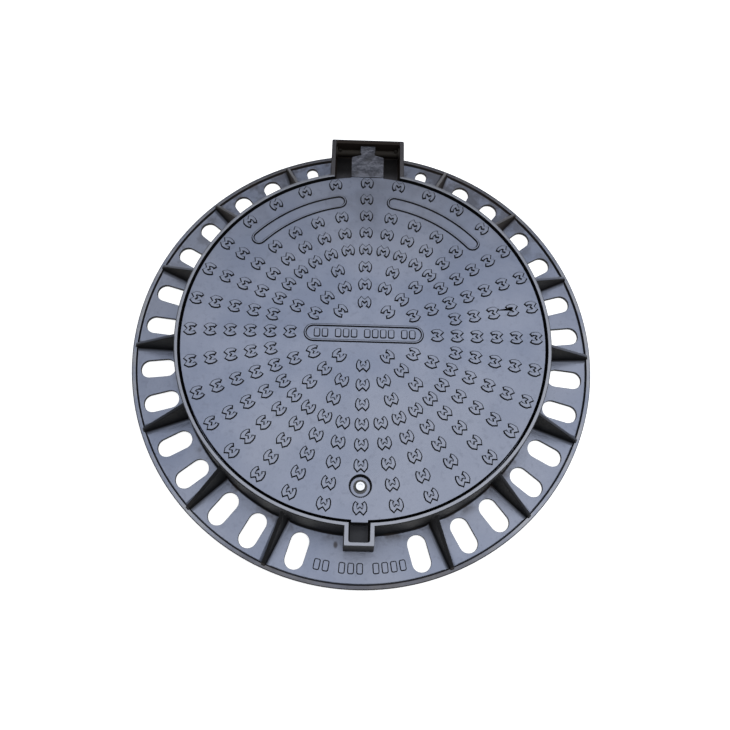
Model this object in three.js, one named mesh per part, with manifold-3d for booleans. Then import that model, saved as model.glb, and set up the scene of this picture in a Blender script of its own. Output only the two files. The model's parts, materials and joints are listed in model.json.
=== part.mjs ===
// Round hinged access cover for a road chamber: ductile iron frame and cover, with a
// captive rear hinge, a front lifting pocket and a quarter-turn lock.
// Millimetres, +Z up. The origin is the middle of the frame's underside, the lifting
// pocket is at the front (-Y) and the hinge box at the back (+Y).
import * as THREE from "three";
import { mergeVertices } from "three/addons/utils/BufferGeometryUtils.js";
import Module from "manifold-3d";

const wasm = await Module();
wasm.setup();

// ---- driving dimensions -------------------------------------------------------------
const FRAME_HEIGHT = 100;
const CLEAR_RADIUS = 300; // free opening through the seat
const SEAT_WIDTH = 23.5; // ledge that the cover stands on
const WALL_TOP = 6.5; // width of the ring's top edge
const WALL_FOOT = 10.5; // width of the same wall where it meets the flange
const FLANGE_WIDTH = 91; // from the wall's foot to the outer edge
const FLANGE_THICKNESS = 8;
const RIM_WIDTH = 8; // raised edge round the flange
const RIM_STEP = 4.5; // how far the raised edge stands above the flange
const RIM_FILLET = 3.5;

const SEAT_DEPTH = 44; // seat below the ring's top
const SEAT_THICKNESS = 10;
const HAUNCH_DROP = 12; // slope under the seat
const LOWER_WALL = 12; // wall below the seat

const SLOT_WIDTH = 33; // anchor slots through the flange, with round ends
const SLOT_WALL_GAP = 11.5; // metal left between a slot and the wall
const SLOT_RIM_GAP = 8; // metal left between a slot and the raised edge
const REAR_SLOT_WIDTH = 22; // the lone slots beside the hinge box are narrower
const BAY = 22.5; // degrees from one rib to the next
const SLOT_PAIR = 4.85; // degrees of each slot of a bay from the bay's middle
const END_SLOT = 16.1; // degrees of the lone slots beside the pocket and the hinge

const RIB_TOP_WIDTH = 6;
const RIB_DRAFT = 0.075; // widening of each rib side per unit of height
const RIB_DROP = 24; // rib top below the ring's top, at the wall
const RIB_TOE = 8; // rib top above the raised edge, at its outer end

const COVER_GAP = 4; // open joint between the cover and the ring
const PLATE_DROP = 3; // plate below the ring's top, tread pattern included
const PLATE_THICKNESS = 8;
const EDGE_CHAMFER = 1.5;
const BEARING_WIDTH = 17; // width of the cover's bearing rim
const BEARING_DRAFT = 2; // lean of the bearing rim's inner face
const RIB_HEIGHT = 23; // ribs under the plate
const COVER_RIB = 8; // width of those ribs
const RIB_BANDS = [[30, 75, 8], [75, 150, 16], [150, 225, 16], [225, null, 32]];

const GASKET_THICKNESS = 3.4;
const GASKET_INSET = 1.5; // gasket edges back from the seat's edges
const FIT = 0.3; // gap between pieces that touch
const LEAD_IN = 1; // small chamfer on bolt ends

const PIN_RADIUS = 6;
const KNUCKLE_RADIUS = 10.5;
const PIN_REACH = 55.5; // hinge pin behind the ring's bore
const PIN_SINK = 3; // how deep a pin end sits in from the outer face of its wall
const SWING_CLEARANCE = 4.5; // from the knuckle to the back wall
const HINGE_BOX_HALF = 61; // half width inside the hinge box
const HINGE_SIDE_WALL = 8;
const HINGE_BACK_WALL = 6;
const BACK_WALL_BEVEL = 3.5;
const BOX_DRAFT = 4; // how far the box walls lean out down to the flange
const BOX_FLOOR_DROP = 50; // floor of hinge box and pocket below the ring's top
const BOX_FLOOR_THICKNESS = 8;
const BOX_MID_WEB = 8; // web that halves the hollow under the hinge box
const TONGUE_HALF = 31;
const TONGUE_LENGTH = 41.5; // wide part, from the cover's edge
const TONGUE_TAPER = 8; // slanted shoulders
const NECK_HALF = 13.75;
const HEEL_CHAMFER = 3; // slanted edge where the neck's flat top ends at the back
const TONGUE_GROOVE = 2.6; // joint line across the root of the tongue
const GROOVE_DEPTH = 3;

const SPLIT_PIN_RADIUS = 1.6;
const SPLIT_PIN_EYE = 2.4; // middle of the wire of the eye
const SPLIT_PIN_OVERHANG = 2; // shank past the hinge pin, on both sides
const SPLIT_LEG_RADIUS = 1.1;
const SPLIT_LEG_LENGTH = 4.5;
const SPLIT_LEG_SPLAY = 38; // degrees
const SPLIT_PIN_INSET = 5.2; // from the side wall to the split pin's middle
const WASHER_THICKNESS = 2.5;
const WASHER_RADIUS = 12;

const POCKET_HALF = 17; // lifting pocket
const POCKET_SIDE_WALL = 7.5;
const POCKET_DEPTH = 30.5; // pocket front wall ahead of the ring's bore
const POCKET_CORNER = 3.5;
const POCKET_FRONT_WALL = 6;
const POCKET_DRAFT = 2;
const TAB_HALF = 13.5; // nose on the cover, in front of the pocket
const TAB_REACH = 5;
const TAB_HEIGHT = 16;

const LOCK_INSET = 55.5; // lock bolt in from the cover's edge
const LOCK_RECESS_RADIUS = 18;
const LOCK_RECESS_DEPTH = 9;
const BOLT_RADIUS = 6;
const BOLT_HEAD_RADIUS = 8.5;
const BOLT_HEAD_HEIGHT = 5.5;
const BOLT_SOCKET = 8; // across the flats
const BOLT_SOCKET_DEPTH = 3.5;
const BOLT_HEAD_CHAMFER = 1.75;
const SEAL_THICKNESS = 2;
const SEAL_RADIUS = 11.5;
const BOSS_RADIUS = 22;
const BOSS_LENGTH = 42; // from the recess floor to the cam's washer
const CAM_THICKNESS = 8;
const CAM_WIDTH = 22;
const CAM_REACH = 45;
const CAM_HUB_EXTRA = 2; // hub radius beyond half the arm's width
const SPRING_WASHER_RADIUS = 10.5;
const SPRING_WASHER_SLIT = 1.6;
const NUT_FLATS = 19;
const NUT_HEIGHT = 10;
const BOLT_TAIL = 4; // thread below the nut

const LABEL_HALF = 105.5; // raised label plate in the middle of the cover
const LABEL_WIDTH = 34;
const ARC_RADIUS = 267; // raised grip bars on both sides of the hinge
const ARC_WIDTH = 28;
const ARC_START = 8; // degrees from the hinge
const ARC_END = 50;
const TREAD_SHIFT = 3; // the middle of the tread lies this far behind the cover's

const RING_SEGMENTS = 80;
const BORE_SEGMENTS = 16;
const WASHER_SEGMENTS = 20;
const OVERCUT = 1; // how far a cutter runs past the face that it opens

// ---- derived places -----------------------------------------------------------------
const boreRadius = CLEAR_RADIUS + SEAT_WIDTH;
const wallTopRadius = boreRadius + WALL_TOP;
const wallFootRadius = boreRadius + WALL_FOOT;
const flangeRadius = wallFootRadius + FLANGE_WIDTH;
const rimInner = flangeRadius - RIM_WIDTH;
const rimTop = FLANGE_THICKNESS + RIM_STEP;
const seatZ = FRAME_HEIGHT - SEAT_DEPTH;
const boxFloorZ = FRAME_HEIGHT - BOX_FLOOR_DROP;
const plateZ = FRAME_HEIGHT - PLATE_DROP;
const coverRadius = boreRadius - COVER_GAP;
const bearingZ = seatZ + FIT + GASKET_THICKNESS + FIT;
const plateUnderZ = plateZ - PLATE_THICKNESS;
const coverRibZ = plateUnderZ - RIB_HEIGHT;
const bearingInner = coverRadius - BEARING_WIDTH;
const pinY = boreRadius + PIN_REACH;
const pinZ = plateZ - KNUCKLE_RADIUS;
const backWallInner = pinY + KNUCKLE_RADIUS + SWING_CLEARANCE;
const backWallOuter = backWallInner + HINGE_BACK_WALL;
const pinHalf = HINGE_BOX_HALF + HINGE_SIDE_WALL - PIN_SINK;
const pocketWallY = -(boreRadius + POCKET_DEPTH);
const lockY = -(coverRadius - LOCK_INSET);
const recessZ = plateZ - LOCK_RECESS_DEPTH;
const headZ = recessZ + FIT + SEAL_THICKNESS + FIT;
const bossZ = recessZ - BOSS_LENGTH;

// ---- helpers ------------------------------------------------------------------------
const degrees = THREE.MathUtils.degToRad;

// Radius of a faceted round hole whose flats keep the fit to a round bar inside it.
const holeRadius = (bar, segments = BORE_SEGMENTS) => (bar + FIT) / Math.cos(Math.PI / segments);

// A closed three.js geometry as a solid that can be joined and cut.
function solid(geometry) {
  const bare = geometry.clone();
  bare.deleteAttribute("normal");
  bare.deleteAttribute("uv");
  const merged = mergeVertices(bare, 1e-4);
  const corner = Array.from(merged.index.array);
  const at = merged.attributes.position.array;
  const point = (i) => new THREE.Vector3().fromArray(at, i * 3);
  let triangles = [];
  let volume = 0;
  for (let i = 0; i < corner.length; i += 3) {
    const [a, b, c] = corner.slice(i, i + 3);
    if (a === b || b === c || c === a) continue;
    triangles.push([a, b, c]);
    volume += point(a).dot(point(b).cross(point(c)));
  }
  if (volume < 0) triangles = triangles.map(([a, b, c]) => [a, c, b]);
  return new wasm.Manifold(new wasm.Mesh({
    numProp: 3,
    vertProperties: Float32Array.from(at),
    triVerts: Uint32Array.from(triangles.flat()),
  }));
}

// A profile of [radius, height] points turned about the Z axis.
function turned(profile, segments = RING_SEGMENTS) {
  const points = profile.map(([r, z]) => new THREE.Vector2(r, z));
  return new THREE.LatheGeometry(points, segments).rotateX(Math.PI / 2);
}

// A ring or disc between two radii and two heights.
function washer(inner, outer, low, high, segments) {
  const profile = [[inner, low], [outer, low], [outer, high], [inner, high]];
  if (inner > 0) profile.push(profile[0]);
  return turned(profile, segments);
}

// A flat outline raised from one height to another.
function prism(shape, low, high, curveSegments = 6) {
  const options = { depth: high - low, bevelEnabled: false, curveSegments };
  return new THREE.ExtrudeGeometry(shape, options).translate(0, 0, low);
}

function outline(points) {
  return new THREE.Shape(points.map(([x, y]) => new THREE.Vector2(x, y)));
}

function boxBetween([x0, y0, z0], [x1, y1, z1]) {
  const box = new THREE.BoxGeometry(x1 - x0, y1 - y0, z1 - z0);
  return box.translate((x0 + x1) / 2, (y0 + y1) / 2, (z0 + z1) / 2);
}

// A rectangle with rounded corners, centred on the origin.
function roundedRectangle(length, width, corner) {
  const shape = new THREE.Shape();
  const x = length / 2 - corner;
  const y = width / 2 - corner;
  shape.absarc(x, y, corner, 0, Math.PI / 2);
  shape.absarc(-x, y, corner, Math.PI / 2, Math.PI);
  shape.absarc(-x, -y, corner, Math.PI, Math.PI * 1.5);
  shape.absarc(x, -y, corner, Math.PI * 1.5, Math.PI * 2);
  return shape;
}

// A closed skin over rings of points that all have the same number of corners.
function loft(rings) {
  const count = rings[0].length;
  const corners = [];
  for (let ring = 0; ring + 1 < rings.length; ring += 1) {
    for (let i = 0; i < count; i += 1) {
      const j = (i + 1) % count;
      const [a, b] = [rings[ring][i], rings[ring][j]];
      const [c, d] = [rings[ring + 1][j], rings[ring + 1][i]];
      corners.push(a, b, c, a, c, d);
    }
  }
  const [first, last] = [rings[0], rings[rings.length - 1]];
  for (let i = 1; i + 1 < count; i += 1) {
    corners.push(first[0], first[i + 1], first[i]);
    corners.push(last[0], last[i], last[i + 1]);
  }
  const geometry = new THREE.BufferGeometry();
  geometry.setAttribute("position", new THREE.Float32BufferAttribute(corners.flat(), 3));
  return geometry;
}

// A rectangular block whose walls lean out on the way down.
function draftedBlock([x0, y0], [x1, y1], low, high, lean) {
  const level = (x0, y0, x1, y1, z) => [[x0, y0, z], [x1, y0, z], [x1, y1, z], [x0, y1, z]];
  return loft([
    level(x0 - lean, y0 - lean, x1 + lean, y1 + lean, low),
    level(x0, y0, x1, y1, high),
  ]);
}

// Points on an arc about the Z axis, measured from +X.
function arcPoints(radius, start, end, steps) {
  return Array.from({ length: steps + 1 }, (_, i) => {
    const angle = degrees(start + ((end - start) * i) / steps);
    return [radius * Math.cos(angle), radius * Math.sin(angle)];
  });
}

// A round bar along X.
function barAlongX(radius, from, to, y, z, segments = BORE_SEGMENTS) {
  const bar = new THREE.CylinderGeometry(radius, radius, to - from, segments);
  return bar.rotateZ(Math.PI / 2).translate((from + to) / 2, y, z);
}

// A piece drawn along -Y and turned by an angle from the front.
const placed = (geometry, angle) => solid(geometry.rotateZ(degrees(angle)));

function hexagon(flats) {
  const corner = flats / 2 / Math.cos(Math.PI / 6);
  return arcPoints(corner, 0, 300, 5);
}

const material = (color, roughness, metalness) =>
  new THREE.MeshStandardMaterial({ color, roughness, metalness });

const finishes = {
  castIron: () => material(0x40444e, 0.38, 0.2),
  rubber: () => material(0x141414, 0.85, 0),
  greasedSteel: () => material(0x1d1d1f, 0.55, 0.6),
  brightSteel: () => material(0xb9bcc0, 0.25, 1),
};

const assembly = new THREE.Group();

function addPiece(name, body, finish) {
  const mesh = body.getMesh();
  const geometry = new THREE.BufferGeometry();
  geometry.setAttribute("position", new THREE.BufferAttribute(mesh.vertProperties, 3));
  geometry.setIndex(new THREE.BufferAttribute(mesh.triVerts, 1));
  geometry.computeVertexNormals();
  const piece = new THREE.Mesh(geometry, finish());
  piece.name = name;
  assembly.add(piece);
}

// ---- frame --------------------------------------------------------------------------
// Angles of the flange's ribs and slots, counted both ways from the front.
const ribAngles = [];
const slotAngles = [END_SLOT];
const rearSlotAngles = [180 - END_SLOT];
for (let bay = 1; bay <= 7; bay += 1) ribAngles.push(bay * BAY);
for (let bay = 1; bay <= 6; bay += 1) {
  const middle = (bay + 0.5) * BAY;
  slotAngles.push(middle - SLOT_PAIR, middle + SLOT_PAIR);
}
const bothWays = (angles) => angles.flatMap((angle) => [angle, -angle]);

function frameEnvelope() {
  return solid(turned([
    [0, 0],
    [flangeRadius, 0],
    [flangeRadius, rimTop - RIM_STEP / 2],
    [flangeRadius - RIM_STEP / 2, rimTop],
    [rimInner, rimTop],
    [rimInner - RIM_FILLET, FLANGE_THICKNESS],
    [wallFootRadius, FLANGE_THICKNESS],
    [wallTopRadius, FRAME_HEIGHT],
    [0, FRAME_HEIGHT],
  ]));
}

// The shaft through the frame, with the seat that carries the cover.
function frameBore() {
  const under = seatZ - SEAT_THICKNESS;
  return solid(turned([
    [0, -OVERCUT],
    [wallFootRadius - LOWER_WALL, -OVERCUT],
    [wallFootRadius - LOWER_WALL, under - HAUNCH_DROP],
    [CLEAR_RADIUS, under],
    [CLEAR_RADIUS, seatZ],
    [boreRadius, seatZ],
    [boreRadius, FRAME_HEIGHT + OVERCUT],
    [0, FRAME_HEIGHT + OVERCUT],
  ]));
}

function frameRib() {
  const root = wallTopRadius - WALL_TOP / 2;
  const toe = flangeRadius - RIM_WIDTH / 2;
  const foot = FLANGE_THICKNESS / 2;
  const section = (radius, top) => {
    const half = RIB_TOP_WIDTH / 2;
    const base = half + RIB_DRAFT * (top - foot);
    return [[-base, -radius, foot], [base, -radius, foot], [half, -radius, top], [-half, -radius, top]];
  };
  return loft([
    section(root, FRAME_HEIGHT - RIB_DROP),
    section(rimInner, rimTop + RIB_TOE),
    section(toe, rimTop - RIM_STEP / 2),
  ]);
}

function flangeSlot(width) {
  const inner = wallFootRadius + SLOT_WALL_GAP;
  const outer = rimInner - SLOT_RIM_GAP;
  const corner = Math.min(width, outer - inner) / 2;
  const shape = roundedRectangle(width, outer - inner, corner);
  const cutter = prism(shape, -OVERCUT, rimTop + OVERCUT, 4);
  return cutter.translate(0, -(inner + outer) / 2, 0);
}

function hingeBox() {
  const half = HINGE_BOX_HALF + HINGE_SIDE_WALL;
  return solid(draftedBlock([-half, CLEAR_RADIUS], [half, backWallOuter], 0, FRAME_HEIGHT, BOX_DRAFT));
}

function hingeBoxHollows() {
  const half = HINGE_BOX_HALF;
  const above = FRAME_HEIGHT + OVERCUT;
  const behindWall = wallFootRadius + OVERCUT;
  const underFloor = boxFloorZ - BOX_FLOOR_THICKNESS;
  const well = boxBetween([-half, CLEAR_RADIUS, seatZ], [half, backWallInner, above]);
  const sump = boxBetween([-half, boreRadius, boxFloorZ], [half, backWallInner, seatZ + OVERCUT]);
  const bevel = loft([-half, half].map((x) => [
    [x, backWallInner - OVERCUT, FRAME_HEIGHT - BACK_WALL_BEVEL - OVERCUT],
    [x, backWallInner + BACK_WALL_BEVEL + OVERCUT, FRAME_HEIGHT + OVERCUT],
    [x, backWallInner - OVERCUT, FRAME_HEIGHT + OVERCUT],
  ]));
  const openEnd = half + 2 * HINGE_SIDE_WALL;
  const pinHole = barAlongX(holeRadius(PIN_RADIUS), -pinHalf - FIT, openEnd, pinY, pinZ);
  let hollows = solid(well).add(solid(sump)).add(solid(bevel)).add(solid(pinHole));
  for (const side of [-1, 1]) {
    const [x0, x1] = [BOX_MID_WEB / 2, half].map((x) => x * side).sort((a, b) => a - b);
    hollows = hollows.add(solid(boxBetween([x0, behindWall, -OVERCUT], [x1, backWallInner, underFloor])));
  }
  return hollows;
}

function liftingPocket() {
  const half = POCKET_HALF + POCKET_SIDE_WALL;
  const front = pocketWallY - POCKET_FRONT_WALL;
  return solid(draftedBlock([-half, front], [half, -CLEAR_RADIUS], 0, FRAME_HEIGHT, POCKET_DRAFT));
}

function liftingPocketHollows() {
  const half = POCKET_HALF;
  const underFloor = boxFloorZ - BOX_FLOOR_THICKNESS;
  const shape = roundedRectangle(2 * half, 2 * POCKET_DEPTH, POCKET_CORNER);
  const well = prism(shape, boxFloorZ, FRAME_HEIGHT + OVERCUT, 3).translate(0, -boreRadius, 0);
  const under = boxBetween([-half, pocketWallY, -OVERCUT], [half, -wallFootRadius - OVERCUT, underFloor]);
  return [solid(well).subtract(solid(washer(0, boreRadius, 0, seatZ))), solid(under)];
}

function makeFrame() {
  let frame = frameEnvelope().add(hingeBox()).add(liftingPocket());
  for (const angle of bothWays(ribAngles)) frame = frame.add(placed(frameRib(), angle));
  frame = frame.subtract(frameBore()).subtract(hingeBoxHollows());
  for (const hollow of liftingPocketHollows()) frame = frame.subtract(hollow);
  for (const [angles, width] of [[slotAngles, SLOT_WIDTH], [rearSlotAngles, REAR_SLOT_WIDTH]]) {
    for (const angle of bothWays(angles)) frame = frame.subtract(placed(flangeSlot(width), angle));
  }
  return frame;
}

// ---- cover --------------------------------------------------------------------------
function coverEnvelope() {
  return solid(turned([
    [0, coverRibZ],
    [bearingInner - BEARING_DRAFT, coverRibZ],
    [bearingInner, bearingZ],
    [coverRadius - EDGE_CHAMFER, bearingZ],
    [coverRadius, bearingZ + EDGE_CHAMFER],
    [coverRadius, plateZ - EDGE_CHAMFER],
    [coverRadius - EDGE_CHAMFER, plateZ],
    [0, plateZ],
  ]));
}

// Hollows between the radial and the ring ribs under the plate.
function coverHollows() {
  const cutters = [];
  for (const [inner, outer, count] of RIB_BANDS) {
    const from = inner + COVER_RIB / 2;
    const to = outer === null ? bearingInner - COVER_RIB / 2 : outer - COVER_RIB / 2;
    const step = 360 / count;
    const insetIn = THREE.MathUtils.radToDeg(COVER_RIB / 2 / from);
    const insetOut = THREE.MathUtils.radToDeg(COVER_RIB / 2 / to);
    const shape = outline([
      ...arcPoints(from, insetIn, step - insetIn, 2),
      ...arcPoints(to, step - insetOut, insetOut, 3),
    ]);
    for (let i = 0; i < count; i += 1) {
      const cutter = prism(shape, bearingZ - OVERCUT, plateUnderZ);
      cutters.push(placed(cutter, (i + 0.5) * step - 90 - step / 2));
    }
  }
  return wasm.Manifold.union(cutters);
}

// Hinge tongue: a wide root with slanted shoulders, a neck and a knuckle, whose flat top
// runs on to a heel behind the pin.
function hingeTongue() {
  const root = coverRadius - COVER_RIB;
  const shoulder = coverRadius + TONGUE_LENGTH;
  const neck = shoulder + TONGUE_TAPER;
  const low = pinZ - KNUCKLE_RADIUS;
  const plan = outline([
    [-TONGUE_HALF, root], [TONGUE_HALF, root], [TONGUE_HALF, shoulder], [NECK_HALF, neck],
    [NECK_HALF, pinY], [-NECK_HALF, pinY], [-NECK_HALF, neck], [-TONGUE_HALF, shoulder],
  ]);
  const knuckle = barAlongX(KNUCKLE_RADIUS, -NECK_HALF, NECK_HALF, pinY, pinZ, 24);
  const heelY = pinY + KNUCKLE_RADIUS;
  const heel = loft([-NECK_HALF, NECK_HALF].map((x) => [
    [x, pinY, pinZ], [x, heelY, pinZ], [x, heelY, plateZ - HEEL_CHAMFER],
    [x, heelY - HEEL_CHAMFER, plateZ], [x, pinY, plateZ],
  ]));
  const boreHalf = NECK_HALF + OVERCUT;
  const bore = barAlongX(holeRadius(PIN_RADIUS), -boreHalf, boreHalf, pinY, pinZ);
  const grooveHalf = TONGUE_HALF + OVERCUT;
  const groove = boxBetween(
    [-grooveHalf, coverRadius - TONGUE_GROOVE / 2, plateZ - GROOVE_DEPTH],
    [grooveHalf, coverRadius + TONGUE_GROOVE / 2, plateZ + OVERCUT],
  );
  const body = solid(prism(plan, low, plateZ)).add(solid(knuckle)).add(solid(heel));
  return { body, cut: solid(bore).add(solid(groove)) };
}

function frontTab() {
  const reach = -(coverRadius + TAB_REACH);
  const back = -(coverRadius - COVER_RIB);
  const low = plateZ - TAB_HEIGHT;
  const chamfer = TAB_REACH / 2;
  return solid(loft([-TAB_HALF, TAB_HALF].map((x) => [
    [x, back, low], [x, reach, low + chamfer], [x, reach, plateZ - chamfer],
    [x, reach + chamfer, plateZ], [x, back, plateZ],
  ])));
}

function raisedDetails() {
  const label = roundedRectangle(2 * LABEL_HALF, LABEL_WIDTH, LABEL_WIDTH / 2);
  const low = plateZ - OVERCUT;
  const details = [solid(prism(label, low, FRAME_HEIGHT, 5))];
  const span = ARC_END - ARC_START;
  const bar = outline([
    ...arcPoints(ARC_RADIUS - ARC_WIDTH / 2, 0, span, 10),
    ...arcPoints(ARC_RADIUS + ARC_WIDTH / 2, span, 0, 10),
  ]);
  for (const start of [90 + ARC_START, 90 - ARC_END]) {
    details.push(placed(prism(bar, low, FRAME_HEIGHT), start));
  }
  return details.map((detail) => detail.translate(0, TREAD_SHIFT, 0));
}

function makeCover() {
  const tongue = hingeTongue();
  let cover = coverEnvelope().subtract(coverHollows()).add(tongue.body).add(frontTab());
  for (const detail of raisedDetails()) cover = cover.add(detail);
  const at = (geometry) => solid(geometry.translate(0, lockY, 0));
  const boss = at(washer(0, BOSS_RADIUS, bossZ, plateUnderZ + OVERCUT, 24));
  const recess = at(washer(0, LOCK_RECESS_RADIUS, recessZ, FRAME_HEIGHT + OVERCUT, 24));
  const bore = at(washer(0, holeRadius(BOLT_RADIUS), bossZ - OVERCUT, FRAME_HEIGHT, BORE_SEGMENTS));
  return cover.add(boss).subtract(recess).subtract(bore).subtract(tongue.cut);
}

// ---- gasket and hinge hardware ------------------------------------------------------
function makeGasket() {
  const low = seatZ + FIT;
  return solid(washer(CLEAR_RADIUS + GASKET_INSET, boreRadius - GASKET_INSET, low, low + GASKET_THICKNESS));
}

const splitPinX = HINGE_BOX_HALF - FIT - WASHER_THICKNESS - SPLIT_PIN_INSET;

function makeHingePin() {
  let pin = solid(barAlongX(PIN_RADIUS, -pinHalf, pinHalf, pinY, pinZ));
  for (const side of [-1, 1]) {
    const hole = new THREE.CylinderGeometry(1, 1, 1, 8).scale(
      SPLIT_PIN_RADIUS + FIT, 3 * PIN_RADIUS, SPLIT_PIN_RADIUS + FIT,
    );
    pin = pin.subtract(solid(hole.rotateX(Math.PI / 2).translate(side * splitPinX, pinY, pinZ)));
  }
  return pin;
}

// Plain washer between the hinge box wall and a split pin.
function makeHingeWasher(side) {
  const inner = HINGE_BOX_HALF - FIT - WASHER_THICKNESS;
  const ring = washer(holeRadius(PIN_RADIUS), WASHER_RADIUS, 0, WASHER_THICKNESS, BORE_SEGMENTS);
  ring.rotateY(Math.PI / 2).translate(side > 0 ? inner : -inner - WASHER_THICKNESS, pinY, pinZ);
  return solid(ring);
}

// Split pin: an eye on top, a shank through the hinge pin and two bent legs.
function makeSplitPin(side) {
  const shank = PIN_RADIUS + SPLIT_PIN_OVERHANG;
  const splay = degrees(SPLIT_LEG_SPLAY);
  const stem = new THREE.CylinderGeometry(SPLIT_PIN_RADIUS, SPLIT_PIN_RADIUS, 2 * shank, 8);
  let pin = solid(stem.rotateX(Math.PI / 2));
  const ring = new THREE.TorusGeometry(SPLIT_PIN_EYE, SPLIT_LEG_RADIUS, 5, 10);
  const eyeHeight = shank - SPLIT_LEG_RADIUS + SPLIT_PIN_EYE;
  pin = pin.add(solid(ring.rotateX(Math.PI / 2).translate(0, 0, eyeHeight)));
  for (const way of [-1, 1]) {
    const leg = new THREE.CylinderGeometry(SPLIT_LEG_RADIUS, SPLIT_LEG_RADIUS, SPLIT_LEG_LENGTH, 6);
    leg.rotateX(Math.PI / 2).translate(0, 0, -SPLIT_LEG_LENGTH / 2).rotateX(way * splay);
    pin = pin.add(solid(leg.translate(0, 0, SPLIT_LEG_RADIUS - shank)));
  }
  return pin.translate([side * splitPinX, pinY, pinZ]);
}

// ---- lock ---------------------------------------------------------------------------
const washerZ = bossZ - FIT - WASHER_THICKNESS;
const springZ = washerZ - FIT - WASHER_THICKNESS;
const camZ = springZ - FIT - CAM_THICKNESS;
const nutZ = camZ - FIT - NUT_HEIGHT;
const washerHole = holeRadius(BOLT_RADIUS, WASHER_SEGMENTS);
const onLock = (body) => body.translate([0, lockY, 0]);

// Round hole for the bolt in a flat outline.
function boltHole() {
  const points = arcPoints(holeRadius(BOLT_RADIUS), 0, 360 - 360 / BORE_SEGMENTS, BORE_SEGMENTS - 1);
  return new THREE.Path(points.map(([x, y]) => new THREE.Vector2(x, y)));
}

function makeLockBolt() {
  const low = nutZ - BOLT_TAIL;
  const high = headZ + BOLT_HEAD_HEIGHT;
  const body = solid(turned([
    [0, low], [BOLT_RADIUS - LEAD_IN, low], [BOLT_RADIUS, low + LEAD_IN], [BOLT_RADIUS, headZ],
    [BOLT_HEAD_RADIUS, headZ], [BOLT_HEAD_RADIUS, high - BOLT_HEAD_CHAMFER],
    [BOLT_HEAD_RADIUS - BOLT_HEAD_CHAMFER, high], [0, high],
  ], 24));
  const socket = prism(outline(hexagon(BOLT_SOCKET)), high - BOLT_SOCKET_DEPTH, high + OVERCUT);
  return onLock(body.subtract(solid(socket)));
}

function makeSealWasher() {
  const low = recessZ + FIT;
  return onLock(solid(washer(washerHole, SEAL_RADIUS, low, low + SEAL_THICKNESS, WASHER_SEGMENTS)));
}

function makeLockWasher() {
  const top = washerZ + WASHER_THICKNESS;
  return onLock(solid(washer(washerHole, WASHER_RADIUS, washerZ, top, WASHER_SEGMENTS)));
}

function makeSpringWasher() {
  const top = springZ + WASHER_THICKNESS;
  const ring = solid(washer(washerHole, SPRING_WASHER_RADIUS, springZ, top, WASHER_SEGMENTS));
  const slit = boxBetween(
    [0, -SPRING_WASHER_SLIT / 2, springZ - OVERCUT],
    [SPRING_WASHER_RADIUS + OVERCUT, SPRING_WASHER_SLIT / 2, top + OVERCUT],
  );
  return onLock(ring.subtract(solid(slit)));
}

// Cam that turns under the seat: an arm with a round hub and a round tip, pointing +X.
function makeCam() {
  const half = CAM_WIDTH / 2;
  const tip = CAM_REACH - half;
  const arm = new THREE.Shape();
  arm.absarc(tip, 0, half, -Math.PI / 2, Math.PI / 2);
  const hub = half + CAM_HUB_EXTRA;
  const shoulder = Math.acos(half / hub) / 2;
  arm.absarc(0, 0, hub, Math.PI / 2 + shoulder, Math.PI * 1.5 - shoulder);
  arm.holes.push(boltHole());
  return onLock(solid(prism(arm, camZ, camZ + CAM_THICKNESS, 8)));
}

function makeNut() {
  const shape = outline(hexagon(NUT_FLATS));
  shape.holes.push(boltHole());
  return onLock(solid(prism(shape, nutZ, nutZ + NUT_HEIGHT)));
}

addPiece("frame", makeFrame(), finishes.castIron);
addPiece("cover", makeCover(), finishes.castIron);
addPiece("seat_gasket", makeGasket(), finishes.rubber);
addPiece("hinge_pin", makeHingePin(), finishes.greasedSteel);
for (const [end, side] of [["left", -1], ["right", 1]]) {
  addPiece(`hinge_washer_${end}`, makeHingeWasher(side), finishes.greasedSteel);
  addPiece(`split_pin_${end}`, makeSplitPin(side), finishes.greasedSteel);
}
addPiece("lock_bolt", makeLockBolt(), finishes.brightSteel);
addPiece("lock_seal_washer", makeSealWasher(), finishes.rubber);
addPiece("lock_washer", makeLockWasher(), finishes.brightSteel);
addPiece("lock_spring_washer", makeSpringWasher(), finishes.brightSteel);
addPiece("lock_cam", makeCam(), finishes.brightSteel);
addPiece("lock_nut", makeNut(), finishes.brightSteel);

export default assembly;
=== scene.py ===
"""Round hinged manhole cover of black-painted cast iron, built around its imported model."""
import json
import math

import bpy
from mathutils import Matrix, Vector


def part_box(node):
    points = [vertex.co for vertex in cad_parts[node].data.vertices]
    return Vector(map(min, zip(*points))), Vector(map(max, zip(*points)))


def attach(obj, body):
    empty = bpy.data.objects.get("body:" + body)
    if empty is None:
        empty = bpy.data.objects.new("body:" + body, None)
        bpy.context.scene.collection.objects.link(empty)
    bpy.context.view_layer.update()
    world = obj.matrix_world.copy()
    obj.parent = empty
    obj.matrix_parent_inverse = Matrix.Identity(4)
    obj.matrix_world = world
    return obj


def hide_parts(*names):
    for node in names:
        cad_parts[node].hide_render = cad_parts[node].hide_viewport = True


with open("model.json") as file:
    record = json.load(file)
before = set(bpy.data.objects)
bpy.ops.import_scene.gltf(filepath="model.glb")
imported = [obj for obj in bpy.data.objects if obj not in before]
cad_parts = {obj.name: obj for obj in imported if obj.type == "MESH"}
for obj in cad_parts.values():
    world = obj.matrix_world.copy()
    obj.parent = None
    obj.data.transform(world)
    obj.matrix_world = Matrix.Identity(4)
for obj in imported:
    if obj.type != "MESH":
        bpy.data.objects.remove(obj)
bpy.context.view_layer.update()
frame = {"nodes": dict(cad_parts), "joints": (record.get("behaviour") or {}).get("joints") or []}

# Everything below is in millimetres; MM turns it into Blender's metres.
MM = 0.001


def corner(node, which):
    """Lowest (0) or highest (1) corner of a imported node."""
    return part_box(node)[which] / MM


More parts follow.
